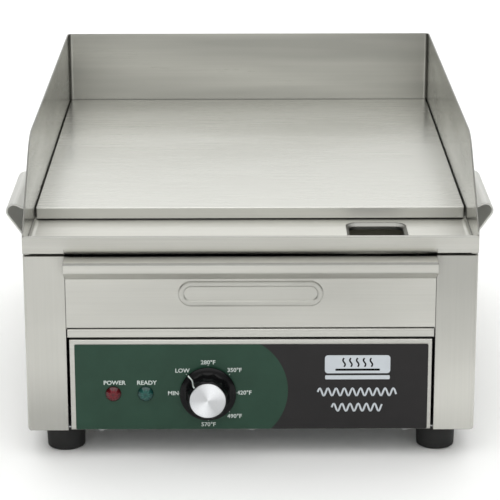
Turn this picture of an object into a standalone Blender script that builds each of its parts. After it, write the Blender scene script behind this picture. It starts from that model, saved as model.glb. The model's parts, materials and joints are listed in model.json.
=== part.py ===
"""Flat top griddle: a thick steel plate between splash guards, a grease trough and a sliding grease tray.

Lengths are in millimetres; piece() turns them into metres. X runs to the right, Y from the front to
the back and Z up. Here Y = 0 is the front face of the corner posts, and the empty "griddle" shifts the
whole object so that the origin is under the middle of its bounding box.
"""

import math

import bmesh
import bpy
from mathutils import Vector

MM = 0.001

# Driving dimensions of the body
HALF_WIDTH = 181.0          # outer face of a side panel
DEPTH = 505.3               # front of the posts to the back of the splash guard
SHEET = 1.2                 # sheet metal
GAP = 0.3                   # between pieces that touch
FOOT_HEIGHT = 23.6
FOOT_X = 152.5
FOOT_INSET = 32.0
BASE_BOTTOM = FOOT_HEIGHT + GAP
POST_TOP = 171.4
POST_WIDTH = 33.0
INNER_HALF = HALF_WIDTH - SHEET - GAP
COVER_HALF = INNER_HALF - SHEET   # clears the bends inside the side panels
BASE_PLATE_BOTTOM = BASE_BOTTOM + SHEET + GAP
BASE_PLATE_FRONT = 3.0

# Cooking top
FLOOR_BOTTOM = POST_TOP + GAP
FLOOR_TOP = FLOOR_BOTTOM + SHEET
LIP_TOP = 187.8
LIP_DEPTH = 3.0
SKIRT_BOTTOM = 173.7
PLATE_HALF = 178.9
PLATE_FRONT = 100.0
PLATE_BACK = 503.5
PLATE_BOTTOM = 174.1
PLATE_TOP = 183.3
GUARD_BOTTOM = FLOOR_TOP + GAP
GUARD_TOP = 250.5
GUARD_NOSE = 190.5          # height of the guard's front end
GUARD_SHOULDER = 84.0       # where the guard's top edge and its slope would meet
SHOULDER_RADIUS = 55.0
DRAIN_X = (81.5, 126.5)
DRAIN_Y = (40.0, 88.5)
DRAIN_RIM = 3.0             # width of the pressed slope round the drain
DRAIN_CORNER = 8.0
HEATER_OPENING = (165.0, 118.0, 492.0)   # half width, front, back

# Grease tray
SHELF_TOP = 110.6
RAIL_BOTTOM = 103.6
RAIL_HALF = 147.0
TRAY_HALF = 141.0
TRAY_BACK = 258.0
TRAY_BOTTOM = SHELF_TOP + 2 * GAP
TRAY_WALL_TOP = 146.0
TRAY_FRONT_TOP = 170.0
FASCIA_HALF = 147.7
FASCIA_BOTTOM = 111.7
FASCIA_BEND = 153.0
PULL_REACH = 20.0
PULL_BEND = 162.8
PULL_TOP = 171.3
PULL_BACK = 1.0             # how far in front of the posts the pull's top ends
BEAD_LENGTH = 116.0
BEAD_Z = (129.6, 150.8)

# Control panel
PANEL_HALF = 145.6
PANEL_TOP = 101.6
PANEL_FACE = 0.5
FILM_X = (-141.7, 142.7)
FILM_Z = (24.9, 97.3)
FILM_THICK = 0.5
KNOB_X = -34.6
KNOB_Z = 56.1
LAMP_Z = 55.8
LAMPS = {"power_lamp": -111.0, "ready_lamp": -85.0}
PANEL_SCREW_X = (-121.5, 1.0, 125.5)
PANEL_SCREW_Y = 7.0
THERMOSTAT_SCREW_REACH = 14.0
SHAFT_RADIUS = 3.0

# Heater pack under the plate
STUD_X = 77.5
STUD_RADIUS = 2.0
CLAMP_Y = (180.0, 400.0)
CLAMP_TOP = 166.5
CLAMP_THICK = 3.2
ELEMENT_Z = 170.3
ELEMENT_RADIUS = 3.5
ELEMENT_LEGS = (25.0, 60.0, 95.0, 130.0)
ELEMENT_FRONT = 132.0
ELEMENT_BACK = 462.0
TERMINAL_Y = 486.0
TERMINAL_Z = 140.0
SHIELD_BOTTOM = 150.5
BULB_Z = 170.6
BULB_RADIUS = 3.0

# Rear
REAR_PANEL_Y = 502.6
GLAND_X = -110.0
GLAND_Z = 60.0
GLAND_REACH = 12.0
GLAND_THREAD = 8.0
BLOCK_Y = (430.0, 450.0)
BLOCK_HOLES = (-122.0, -110.0, -98.0)
BLOCK_HOLE_Z = 38.0
EARTH_STUD = (-60.0, 470.0)
LAMP_BACK = 24.0
THERMOSTAT_BACK = 36.0

SIDES = {"left": -1, "right": 1}
# y of the posts' front face in the object's frame
FRONT = (PULL_REACH - DEPTH - GLAND_REACH) / 2

# Colour, roughness and metallic value of each finish
FINISHES = {
    "stainless": ((0.60, 0.60, 0.56), 0.32, 1.0),
    "plate_steel": ((0.66, 0.66, 0.62), 0.28, 1.0),
    "zinc_plated": ((0.52, 0.53, 0.54), 0.38, 1.0),
    "element_sheath": ((0.16, 0.16, 0.15), 0.55, 1.0),
    "black_rubber": ((0.02, 0.02, 0.02), 0.75, 0.0),
    "black_plastic": ((0.012, 0.012, 0.013), 0.25, 0.0),
    "grey_plastic": ((0.30, 0.30, 0.30), 0.50, 0.0),
    "overlay_film": ((0.030, 0.075, 0.050), 0.40, 0.0),
    "spun_aluminium": ((0.78, 0.78, 0.76), 0.25, 1.0),
    "red_lens": ((0.45, 0.02, 0.03), 0.15, 0.0),
    "green_lens": ((0.02, 0.22, 0.12), 0.15, 0.0),
    "mineral_wool": ((0.72, 0.70, 0.62), 0.95, 0.0),
    "steatite": ((0.80, 0.78, 0.72), 0.50, 0.0),
    "copper_tube": ((0.72, 0.42, 0.28), 0.35, 1.0),
    "wire_brown": ((0.16, 0.07, 0.03), 0.50, 0.0),
    "wire_blue": ((0.03, 0.10, 0.35), 0.50, 0.0),
    "wire_green": ((0.16, 0.35, 0.05), 0.50, 0.0),
}


# ---------------------------------------------------------------- holders, pieces and cutters

def holder(name, parent=None, at=(0.0, 0.0, 0.0)):
    """An empty that carries pieces; a moving one stands on its joint's axis."""
    empty = bpy.data.objects.new(name, None)
    empty.location = Vector(at) * MM
    empty.parent = parent
    bpy.context.scene.collection.objects.link(empty)
    return empty


def paint(data, name, finish):
    """Give a mesh or a curve its own material."""
    colour, roughness, metallic = FINISHES[finish]
    material = bpy.data.materials.new(name)
    material.use_nodes = True
    shader = material.node_tree.nodes["Principled BSDF"]
    shader.inputs["Base Color"].default_value = (*colour, 1.0)
    shader.inputs["Roughness"].default_value = roughness
    shader.inputs["Metallic"].default_value = metallic
    material.diffuse_color = (*colour, 1.0)
    data.materials.append(material)


def origin_of(carrier):
    """Where a holder stands, in the body's millimetres."""
    if carrier.parent is None:
        return Vector((0.0, 0.0, 0.0))
    return carrier.location / MM


def piece(name, solid, finish, carrier, smooth=False):
    """Turn a bmesh in millimetres into a named object on its holder."""
    bmesh.ops.translate(solid, vec=-origin_of(carrier), verts=solid.verts)
    bmesh.ops.scale(solid, vec=(MM, MM, MM), verts=solid.verts)
    mesh = bpy.data.meshes.new(name)
    solid.to_mesh(mesh)
    solid.free()
    if smooth:
        mesh.shade_smooth()
        mesh.set_sharp_from_angle(angle=math.radians(35.0))
    if finish:
        paint(mesh, name, finish)
    result = bpy.data.objects.new(name, mesh)
    result.parent = carrier
    bpy.context.scene.collection.objects.link(result)
    return result


def combine(target, operation, solid):
    """Cut a solid out of a piece, weld it on, or keep only what lies inside it."""
    tool = piece(f"{target.name}_tool_{len(target.modifiers)}", solid, None, target.parent)
    tool.display_type = "WIRE"
    tool.hide_render = True
    modifier = target.modifiers.new(operation.title(), "BOOLEAN")
    modifier.operation = operation
    modifier.object = tool


def cut(target, *solids):
    combine(target, "DIFFERENCE", merged(solids))


def weld(target, *solids):
    combine(target, "UNION", merged(solids))


def merged(solids):
    """Several bmeshes as one."""
    total = bmesh.new()
    for solid in solids:
        mesh = bpy.data.meshes.new("merged")
        solid.to_mesh(mesh)
        solid.free()
        total.from_mesh(mesh)
        bpy.data.meshes.remove(mesh)
    return total


# ---------------------------------------------------------------- outlines

def rounded(points, radii, steps=4, closed=False):
    """Replace the corners of an outline or a route, in 2 or 3 dimensions, by arcs."""
    points = [Vector(point) for point in points]
    if not isinstance(radii, (list, tuple)):
        radii = [radii] * len(points)
    result = []
    for index, corner in enumerate(points):
        at_end = not closed and index in (0, len(points) - 1)
        if at_end or radii[index] == 0:
            result.append(corner)
            continue
        back = (points[index - 1] - corner).normalized()
        ahead = (points[(index + 1) % len(points)] - corner).normalized()
        half = back.angle(ahead) / 2
        centre = corner + (back + ahead).normalized() * radii[index] / math.sin(half)
        first = corner + back * radii[index] / math.tan(half) - centre
        last = corner + ahead * radii[index] / math.tan(half) - centre
        sweep = math.pi - 2 * half
        for step in range(steps + 1):
            share = step / steps
            blend = math.sin((1 - share) * sweep) * first + math.sin(share * sweep) * last
            result.append(centre + blend / math.sin(sweep))
    return result


def rectangle(low_u, high_u, low_v, high_v, radius=0.0, steps=4):
    corners = [(low_u, low_v), (high_u, low_v), (high_u, high_v), (low_u, high_v)]
    return rounded(corners, radius, steps, closed=True)


def to_the_right(path, distance):
    """An open 2-D path moved to its right-hand side."""
    moved = []
    for index, point in enumerate(path):
        normals = []
        if index > 0:
            along = (point - path[index - 1]).normalized()
            normals.append(Vector((along.y, -along.x)))
        if index + 1 < len(path):
            along = (path[index + 1] - point).normalized()
            normals.append(Vector((along.y, -along.x)))
        mitre = sum(normals, Vector((0.0, 0.0))).normalized()
        moved.append(point + mitre * distance / mitre.dot(normals[0]))
    return moved


def smooth_route(points, pieces=4):
    """Points on a Catmull-Rom curve through a wire's own points."""
    points = [Vector(point) for point in points]
    padded = [2 * points[0] - points[1], *points, 2 * points[-1] - points[-2]]
    route = []
    for index in range(1, len(padded) - 2):
        a, b, c, d = padded[index - 1:index + 3]
        for step in range(pieces):
            t = step / pieces
            slope = (c - a) * t + (2 * a - 5 * b + 4 * c - d) * t ** 2 + (3 * b - a - 3 * c + d) * t ** 3
            route.append(b + slope / 2)
    route.append(points[-1])
    return route


# ---------------------------------------------------------------- solids

def place(axis, u, v, height):
    """A point from 2-D coordinates across an axis and a height along it."""
    return {"X": (height, u, v), "Y": (u, height, v), "Z": (u, v, height)}[axis]


def prism(outline, axis, low, high):
    """A closed outline drawn out along an axis."""
    solid = bmesh.new()
    base = solid.faces.new([solid.verts.new(place(axis, u, v, low)) for u, v in outline])
    drawn = bmesh.ops.extrude_face_region(solid, geom=[base])
    lifted = [item for item in drawn["geom"] if isinstance(item, bmesh.types.BMVert)]
    bmesh.ops.translate(solid, vec=place(axis, 0.0, 0.0, high - low), verts=lifted)
    bmesh.ops.recalc_face_normals(solid, faces=solid.faces)
    return solid


def box(x, y, z):
    return prism(rectangle(min(x), max(x), *y), "Z", *z)


def sheet(path, radii, axis, low, high, thickness=SHEET, steps=4):
    """Bent sheet metal: the path is one face, and the metal lies to the path's right."""
    face = rounded(path, radii, steps)
    return prism(face + to_the_right(face, thickness)[::-1], axis, low, high)


def round_edges(solid, radius, chosen, steps=3):
    """Round the straight edges whose midpoint and direction the test picks."""
    edges = []
    for edge in solid.edges:
        first, last = (vertex.co for vertex in edge.verts)
        if chosen((first + last) / 2, last - first):
            edges.append(edge)
    bmesh.ops.bevel(solid, geom=edges, offset=radius, segments=steps, profile=0.5, affect="EDGES")
    return solid


def turned(profile, axis, centre, steps=24, loop=False, flutes=None):
    """A turned solid from (radius, height) pairs.

    A loop closes on itself round a bore; flutes are (count, depth, lowest and highest height).
    """
    solid = bmesh.new()
    rings = []
    for radius, height in profile:
        if radius == 0:
            rings.append([solid.verts.new(Vector(place(axis, 0.0, 0.0, height)) + Vector(centre))])
            continue
        ring = []
        for step in range(steps):
            angle = 2 * math.pi * step / steps
            reach = radius
            if flutes and flutes[2] <= height <= flutes[3]:
                reach += flutes[1] * math.cos(flutes[0] * angle)
            point = place(axis, reach * math.cos(angle), reach * math.sin(angle), height)
            ring.append(solid.verts.new(Vector(point) + Vector(centre)))
        rings.append(ring)
    pairs = list(zip(rings, rings[1:]))
    if loop:
        pairs.append((rings[-1], rings[0]))
    for lower, upper in pairs:
        for step in range(steps):
            corners = [lower[step % len(lower)], lower[(step + 1) % len(lower)],
                       upper[(step + 1) % len(upper)], upper[step % len(upper)]]
            solid.faces.new(list(dict.fromkeys(corners)))
    bmesh.ops.recalc_face_normals(solid, faces=solid.faces)
    return solid


def cylinder(axis, centre, radius, low, high, steps=16):
    return turned([(0, low), (radius, low), (radius, high), (0, high)], axis, centre, steps)


def hexagon(axis, centre, radius, low, high):
    return cylinder(axis, centre, radius, low, high, steps=6)


def mirrored(solid, side):
    """The right-hand solid itself, or its mirror image for the left-hand side."""
    if side < 0:
        bmesh.ops.scale(solid, vec=(-1.0, 1.0, 1.0), verts=solid.verts)
        bmesh.ops.reverse_faces(solid, faces=solid.faces)
    return solid


def lofted_ring(loops):
    """Closed loops of equal length joined one to the next, and the last to the first."""
    solid = bmesh.new()
    rings = [[solid.verts.new(point) for point in loop] for loop in loops]
    for lower, upper in zip(rings, rings[1:] + rings[:1]):
        for step in range(len(lower)):
            ahead = (step + 1) % len(lower)
            solid.faces.new((lower[step], lower[ahead], upper[ahead], upper[step]))
    bmesh.ops.recalc_face_normals(solid, faces=solid.faces)
    return solid


def tube(name, route, radius, finish, carrier):
    """A round bar, tube or wire along a route, as a curve with closed ends."""
    curve = bpy.data.curves.new(name, "CURVE")
    curve.dimensions = "3D"
    curve.bevel_depth = radius * MM
    curve.bevel_resolution = 2
    curve.use_fill_caps = True
    spline = curve.splines.new("POLY")
    spline.points.add(len(route) - 1)
    for point, station in zip(spline.points, route):
        point.co = (*((station - origin_of(carrier)) * MM), 1.0)
    paint(curve, name, finish)
    result = bpy.data.objects.new(name, curve)
    result.parent = carrier
    bpy.context.scene.collection.objects.link(result)
    return result


# ---------------------------------------------------------------- cooking top

def stud_places():
    return [(side * STUD_X, y) for y in CLAMP_Y for side in SIDES.values()]


def at_each_stud(radius, low, high):
    return [cylinder("Z", (x, y, 0), radius, low, high, 12) for x, y in stud_places()]


def griddle_plate(body):
    """The thick plate, with four weld studs underneath that hold the heater pack."""
    corners = [(-PLATE_HALF, PLATE_FRONT), (PLATE_HALF, PLATE_FRONT),
               (PLATE_HALF, PLATE_BACK), (-PLATE_HALF, PLATE_BACK)]
    solid = prism(rounded(corners, (1.0, 1.0, 3.0, 3.0), 3, closed=True), "Z", PLATE_BOTTOM, PLATE_TOP)
    round_edges(solid, 0.6, lambda middle, along: middle.z > PLATE_TOP - 0.1, 2)
    plate = piece("griddle_plate", solid, "plate_steel", body)
    weld(plate, *at_each_stud(STUD_RADIUS, SHIELD_BOTTOM - 4.0, PLATE_BOTTOM + 2.0))


def splash_guard(body):
    """One sheet bent round the two sides and the back, cut to front ends that slope down in a curve."""
    path = [(-HALF_WIDTH, 0.0), (-HALF_WIDTH, DEPTH), (HALF_WIDTH, DEPTH), (HALF_WIDTH, 0.0)]
    bent = sheet(path, 4.5, "Z", GUARD_BOTTOM - 5.0, GUARD_TOP + 5.0, steps=5)
    guard = piece("splash_guard", bent, "stainless", body, smooth=True)
    beyond = DEPTH + 10.0
    behind_lip = LIP_DEPTH + GAP
    side_view = [(GAP, LIP_TOP + GAP), (GAP, GUARD_NOSE), (GUARD_SHOULDER, GUARD_TOP), (beyond, GUARD_TOP),
                 (beyond, GUARD_BOTTOM), (behind_lip, GUARD_BOTTOM), (behind_lip, LIP_TOP + GAP)]
    outline = rounded(side_view, (0, 1.0, SHOULDER_RADIUS, 0, 0, 0, 0), 8, closed=True)
    combine(guard, "INTERSECT", prism(outline, "X", -HALF_WIDTH - 10.0, HALF_WIDTH + 10.0))


def drain_outline(grow):
    left, right = DRAIN_X
    front, back = DRAIN_Y
    return rectangle(left - grow, right + grow, front - grow, back + grow, DRAIN_CORNER + grow, 5)


def drain_loop(grow, height):
    return [(x, y, height) for x, y in drain_outline(grow)]


def top_frame(body):
    """The trough with its raised front lip, the ledge round the heaters and the pressed drain."""
    back_edge = DEPTH - SHEET - GAP
    side_view = [(0.0, FLOOR_BOTTOM), (back_edge, FLOOR_BOTTOM), (back_edge, FLOOR_TOP),
                 (LIP_DEPTH, FLOOR_TOP), (LIP_DEPTH, LIP_TOP), (0.0, LIP_TOP)]
    outline = rounded(side_view, (6.0, 0, 0, 4.0, 1.4, 1.4), 5, closed=True)
    frame = piece("top_frame", prism(outline, "X", -HALF_WIDTH, HALF_WIDTH), "stainless", body, smooth=True)
    half, front, back = HEATER_OPENING
    overlap = FLOOR_TOP - SHEET / 2
    ledge = box((-half - 4.0, half + 4.0), (front - 4.0, back + 4.0), (overlap, PLATE_BOTTOM - GAP))
    weld(frame, ledge)
    inner = HALF_WIDTH - POST_WIDTH
    hollow = rounded([(INNER_HALF, FLOOR_TOP + 4.0), (INNER_HALF - 0.2, FLOOR_TOP),
                      (INNER_HALF - 4.2, FLOOR_TOP)], 3.6, 4)
    fillet = [(INNER_HALF, overlap), *hollow, (INNER_HALF - 4.2, overlap)]
    for side in SIDES.values():
        weld(frame, box((side * inner, side * HALF_WIDTH), (0.0, SHEET), (SKIRT_BOTTOM, 180.0)))
        weld(frame, mirrored(prism(fillet, "Y", LIP_DEPTH - 1.0, PLATE_FRONT - 1.5), side))
        beside_guard = (side * INNER_HALF, side * (HALF_WIDTH + 5.0))
        cut(frame, box(beside_guard, (LIP_DEPTH, DEPTH + 5.0), (160.0, 200.0)))
    cut(frame, box((-half, half), (front, back), (160.0, 180.0)))
    cut(frame, prism(drain_outline(DRAIN_RIM - 0.6), "Z", 160.0, 180.0))
    pressed = [(DRAIN_RIM, 0.0), (0.8, 2.0), (0.0, 2.9), (0.0, 5.4), (SHEET, 5.4), (SHEET + 0.6, 3.2),
               (DRAIN_RIM, SHEET)]
    weld(frame, lofted_ring([drain_loop(grow, FLOOR_TOP - sunk) for grow, sunk in pressed]))


# ---------------------------------------------------------------- chassis

def foot_places():
    return [(side, end, SIDES[side] * FOOT_X, y)
            for end, y in (("front", FOOT_INSET), ("rear", DEPTH - FOOT_INSET)) for side in SIDES]


def foot_holes(radius):
    return [cylinder("Z", (x, y, 0), radius, 20.0, 34.0, 12) for side, end, x, y in foot_places()]


def panel_screw_holes():
    return [cylinder("Z", (x, PANEL_SCREW_Y, 0), 2.5, 20.0, 34.0, 12) for x in PANEL_SCREW_X]


def side_panel(body, side):
    """A side with its front post and its rear, top and bottom flanges, pressed from one sheet."""
    low, high = HALF_WIDTH - POST_WIDTH, HALF_WIDTH

    def outer_edge(middle, along):
        runs_across = abs(along.x) > max(abs(along.y), abs(along.z))
        on_outside = middle.x > HALF_WIDTH - SHEET - 1.0
        return on_outside and not runs_across and middle.z < POST_TOP - 5.0

    shell = box((low, high), (0.0, DEPTH), (BASE_BOTTOM, POST_TOP))
    round_edges(shell, 3.0, outer_edge, 4)
    panel = piece(f"side_panel_{side}", mirrored(shell, SIDES[side]), "stainless", body, smooth=True)
    inside = (BASE_BOTTOM + SHEET, POST_TOP - SHEET)
    hollow = box((low - 10.0, high - SHEET), (SHEET, DEPTH - SHEET), inside)
    cut(panel, mirrored(round_edges(hollow, 1.8, outer_edge, 4), SIDES[side]))
    cut(panel, *foot_holes(2.8))


def rear_panel(body):
    """The back cover, with two banks of vent slots and the hole for the cable gland."""
    front, back = REAR_PANEL_Y, REAR_PANEL_Y + SHEET
    solid = box((-COVER_HALF, COVER_HALF), (front, back), (BASE_PLATE_BOTTOM, POST_TOP - SHEET - GAP))
    panel = piece("rear_panel", solid, "stainless", body)
    slots = [prism(rectangle(x - 30.0, x + 30.0, z - 2.0, z + 2.0, 1.9, 2), "Y", front - 3.0, back + 3.0)
             for x in (-75.0, 75.0) for z in range(110, 160, 10)]
    gland_hole = cylinder("Y", (GLAND_X, 0, GLAND_Z), GLAND_THREAD + GAP, front - 3.0, back + 3.0, 20)
    cut(panel, gland_hole, *slots)


def base_plate(body):
    """The bottom cover, with weld nuts for the feet, vent slots and an earth stud."""
    bottom = BASE_PLATE_BOTTOM
    top = bottom + SHEET
    solid = box((-COVER_HALF, COVER_HALF), (BASE_PLATE_FRONT, REAR_PANEL_Y - 0.6), (bottom, top))
    base = piece("base_plate", solid, "zinc_plated", body)
    nuts = [hexagon("Z", (x, y, 0), 5.6, top - 0.5, top + 4.0) for side, end, x, y in foot_places()]
    weld(base, cylinder("Z", (*EARTH_STUD, 0), 2.5, top - 0.5, top + 9.0, 12), *nuts)
    slots = [prism(rectangle(x - 25.0, x + 25.0, y - 2.0, y + 2.0, 1.9, 2), "Z", bottom - 3.0, top + 3.0)
             for x in (-60.0, 60.0) for y in range(180, 380, 40)]
    cut(base, *slots, *panel_screw_holes(), *foot_holes(2.6))


def tray_shelf(body):
    """The shelf that the tray slides on: its front edge is the rail above the control panel."""
    stop = TRAY_BACK + 4.4
    path = [(0.0, RAIL_BOTTOM), (0.0, SHELF_TOP), (stop, SHELF_TOP), (stop, SHELF_TOP + 14.0)]
    shelf = piece("tray_shelf", sheet(path, 1.6, "X", -RAIL_HALF, RAIL_HALF), "stainless", body, smooth=True)
    wing = [(140.0, SHELF_TOP), (INNER_HALF, SHELF_TOP), (INNER_HALF, SHELF_TOP - 12.0)]
    weld(shelf, *[mirrored(sheet(wing, 1.6, "Y", 3.0, stop - 4.0), side) for side in SIDES.values()])


def tray_runner(body, side):
    """An angle that guides one side of the tray."""
    bottom = SHELF_TOP + GAP
    beside_tray = TRAY_HALF + 2 * GAP
    path = [(156.0, bottom), (beside_tray, bottom), (beside_tray, bottom + 14.0)]
    solid = sheet(path, 1.6, "Y", 8.0, TRAY_BACK, thickness=1.0, steps=3)
    piece(f"tray_runner_{side}", mirrored(solid, SIDES[side]), "zinc_plated", body, smooth=True)


def foot(body, side, end, x, y):
    profile = [(6.0, 0.0), (14.3, 0.0), (15.0, 0.4), (15.3, 1.2), (16.3, FOOT_HEIGHT - 0.8),
               (15.6, FOOT_HEIGHT), (2.7, FOOT_HEIGHT), (2.7, 15.3), (6.0, 15.3)]
    solid = turned(profile, "Z", (x, y, 0), 24, loop=True)
    piece(f"foot_{end}_{side}", solid, "black_rubber", body, smooth=True)


def foot_screw(body, side, end, x, y):
    profile = [(0, 12.0), (4.2, 12.0), (4.6, 12.5), (4.6, 15.0), (2.3, 15.0), (2.3, 33.0), (0, 33.0)]
    piece(f"foot_screw_{end}_{side}", turned(profile, "Z", (x, y, 0), 16), "zinc_plated", body, smooth=True)


def handle(body, side):
    """A lifting handle: one strip bent to a nose, with both ends against the side panel."""
    wall = HALF_WIDTH + GAP
    thickness = 1.5
    tip = (228.0, 169.5)    # where the two legs would meet without the round nose
    path = [(wall, 134.0), (wall, 148.5), tip, (wall + thickness, 106.0), (wall + thickness, 93.0)]
    solid = sheet(path, (0, 3.0, 6.8, 4.0, 0), "Y", 197.0, 310.0, thickness, 8)
    piece(f"handle_{side}", mirrored(solid, SIDES[side]), "stainless", body, smooth=True)


# ---------------------------------------------------------------- grease tray

def tray_pan(tray):
    """The pan, with a tall front wall that stands behind the pull."""
    def bottom_or_corner(middle, along):
        upright = abs(along.z) > max(abs(along.x), abs(along.y))
        return upright or middle.z < TRAY_BOTTOM + 2.0

    wall = 1.0
    front = SHEET + GAP
    half = TRAY_HALF - wall
    shell = box((-TRAY_HALF, TRAY_HALF), (front, TRAY_BACK), (TRAY_BOTTOM, TRAY_FRONT_TOP))
    pan = piece("tray_pan", round_edges(shell, 3.5, bottom_or_corner, 3), "stainless", tray, smooth=True)
    inner = box((-half, half), (front + wall, TRAY_BACK - wall), (TRAY_BOTTOM + wall, 200.0))
    cut(pan, round_edges(inner, 2.5, bottom_or_corner, 3))
    above_walls = (TRAY_WALL_TOP, 200.0)
    cut(pan, box((-half - 5.0, half + 5.0), (front + wall + 3.0, TRAY_BACK + 5.0), above_walls))


def tray_front(tray):
    """The tray's face, folded forward at the top into a full-width pull, with one pressed oval bead."""
    path = [(0.0, FASCIA_BOTTOM), (0.0, FASCIA_BEND), (-PULL_REACH, PULL_BEND), (-PULL_REACH, PULL_TOP),
            (-PULL_BACK, PULL_TOP)]
    solid = sheet(path, (0, 2.5, 3.0, 1.8, 0), "X", -FASCIA_HALF, FASCIA_HALF)
    face = piece("tray_front", solid, "stainless", tray, smooth=True)
    low, high = BEAD_Z
    half = BEAD_LENGTH / 2
    loops = []
    section = ((0.0, -0.5), (0.0, 0.0), (1.0, 0.8), (2.5, 1.1), (4.0, 0.8), (5.0, 0.0), (5.0, -0.5))
    for shrink, proud in section:
        oval = rectangle(shrink - half, half - shrink, low + shrink, high - shrink, 10.5 - shrink, 8)
        loops.append([(x, -proud, z) for x, z in oval])
    weld(face, lofted_ring(loops))


# ---------------------------------------------------------------- control panel

def lamp_holes():
    return [cylinder("Y", (x, 0, LAMP_Z), 4.7, -5.0, 10.0, 20) for x in LAMPS.values()]


def thermostat_screw_places():
    return [KNOB_X - THERMOSTAT_SCREW_REACH, KNOB_X + THERMOSTAT_SCREW_REACH]


def control_panel(body):
    """The panel sheet behind the printed film, with holes for the shaft, the lamps and the screws."""
    path = [(12.0, BASE_BOTTOM), (PANEL_FACE, BASE_BOTTOM), (PANEL_FACE, PANEL_TOP), (12.0, PANEL_TOP)]
    solid = sheet(path, 1.8, "X", -PANEL_HALF, PANEL_HALF)
    panel = piece("control_panel", solid, "stainless", body, smooth=True)
    holes = [cylinder("Y", (KNOB_X, 0, KNOB_Z), 5.2, -5.0, 10.0, 20), *lamp_holes()]
    holes += [cylinder("Y", (x, 0, KNOB_Z), 1.9, -5.0, 10.0, 12) for x in thermostat_screw_places()]
    cut(panel, *holes, *panel_screw_holes())


def panel_overlay(body):
    """The printed film on the panel, open behind the knob and round the lamps."""
    back = PANEL_FACE - GAP
    solid = prism(rectangle(*FILM_X, *FILM_Z, 1.0, 2), "Y", back - FILM_THICK, back)
    film = piece("panel_overlay", solid, "overlay_film", body)
    cut(film, cylinder("Y", (KNOB_X, 0, KNOB_Z), 18.0, -5.0, 5.0, 32), *lamp_holes())


def thermostat(body, dial):
    """The thermostat's body and bush, its shaft, and the two screws that hold it to the panel."""
    centre = (KNOB_X, 0, KNOB_Z)
    outline = rectangle(KNOB_X - 20.0, KNOB_X + 20.0, KNOB_Z - 18.0, KNOB_Z + 18.0, 3.0, 3)
    case = piece("thermostat_body", prism(outline, "Y", 2.0, THERMOSTAT_BACK), "steatite", body)
    weld(case, cylinder("Y", centre, 4.8, -0.5, 4.0, 20))
    screw_holes = [cylinder("Y", (x, 0, KNOB_Z), 1.8, 0.0, 7.5, 12) for x in thermostat_screw_places()]
    cut(case, cylinder("Y", centre, SHAFT_RADIUS + GAP, -2.0, 9.0, 20), *screw_holes)
    shaft = cylinder("Y", centre, SHAFT_RADIUS, -14.5, 8.5, 20)
    piece("thermostat_shaft", shaft, "zinc_plated", dial, smooth=True)
    profile = [(0, 6.5), (1.5, 6.5), (1.5, 0.2), (3.2, 0.2), (3.0, -0.9), (1.8, -1.4), (0, -1.4)]
    for side, x in zip(SIDES, thermostat_screw_places()):
        screw = turned(profile, "Y", (x, 0, KNOB_Z), 12)
        piece(f"thermostat_screw_{side}", screw, "zinc_plated", body, smooth=True)


def knob(dial):
    """The fluted knob with its skirt, and the spun cap on its face."""
    profile = [(0, -2.0), (22.1, -2.0), (22.7, -2.6), (22.7, -3.6), (22.0, -4.2), (17.6, -5.6),
               (17.2, -6.2), (16.6, -11.0), (16.1, -16.2), (15.7, -17.4), (14.9, -18.0), (0, -18.0)]
    centre = (KNOB_X, 0, KNOB_Z)
    solid = turned(profile, "Y", centre, 48, flutes=(12, 0.35, -16.5, -6.0))
    grip = piece("control_knob", solid, "black_plastic", dial, smooth=True)
    cut(grip, cylinder("Y", centre, SHAFT_RADIUS + 0.2, -14.8, 0.0, 20))
    disc = [(0, -18.3), (14.0, -18.3), (14.5, -18.7), (14.3, -19.1), (13.6, -19.4), (0, -19.4)]
    piece("knob_cap", turned(disc, "Y", centre, 32), "spun_aluminium", dial, smooth=True)


def lamp(body, name, x, lens_finish):
    """An indicator lamp: its barrel behind the panel and its domed lens in front."""
    centre = (x, 0, LAMP_Z)
    barrel = [(0, LAMP_BACK), (5.5, LAMP_BACK), (5.5, 2.0), (4.5, 2.0), (4.5, 6.0), (0, 6.0)]
    piece(f"{name}_body", turned(barrel, "Y", centre, 20), "grey_plastic", body, smooth=True)
    lens = [(0, 5.5), (4.2, 5.5), (4.2, -0.6), (5.5, -0.6), (5.5, -1.5), (5.0, -2.6), (3.9, -3.5),
            (2.1, -4.1), (0, -4.3)]
    piece(f"{name}_lens", turned(lens, "Y", centre, 20), lens_finish, body, smooth=True)


def panel_screw(body, number, x):
    top = FOOT_HEIGHT
    profile = [(0, top - 2.1), (2.0, top - 1.9), (3.6, top - 1.2), (4.0, top - 0.4), (4.0, top), (2.1, top),
               (2.1, 33.0), (0, 33.0)]
    centre = (x, PANEL_SCREW_Y, 0)
    piece(f"panel_screw_{number}", turned(profile, "Z", centre, 16), "zinc_plated", body, smooth=True)


# ---------------------------------------------------------------- heater pack

def heating_element(body, side):
    """A sheathed element in four runs, with both ends turned down behind the heat shield."""
    turns = []
    for number, x in enumerate(ELEMENT_LEGS):
        ends = (ELEMENT_BACK, ELEMENT_FRONT) if number % 2 == 0 else (ELEMENT_FRONT, ELEMENT_BACK)
        turns += [(x, y, ELEMENT_Z) for y in ends]
    turns[0] = (ELEMENT_LEGS[0], TERMINAL_Y, ELEMENT_Z)
    turns[-1] = (ELEMENT_LEGS[-1], TERMINAL_Y, ELEMENT_Z)
    terminals = [(x, TERMINAL_Y, TERMINAL_Z) for x in (ELEMENT_LEGS[0], ELEMENT_LEGS[-1])]
    route = [(SIDES[side] * x, y, z) for x, y, z in (terminals[0], *turns, terminals[1])]
    radii = [0.0, 8.0] + [14.0] * (len(turns) - 2) + [8.0, 0.0]
    tube(f"heating_element_{side}", rounded(route, radii), ELEMENT_RADIUS, "element_sheath", body)


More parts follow.
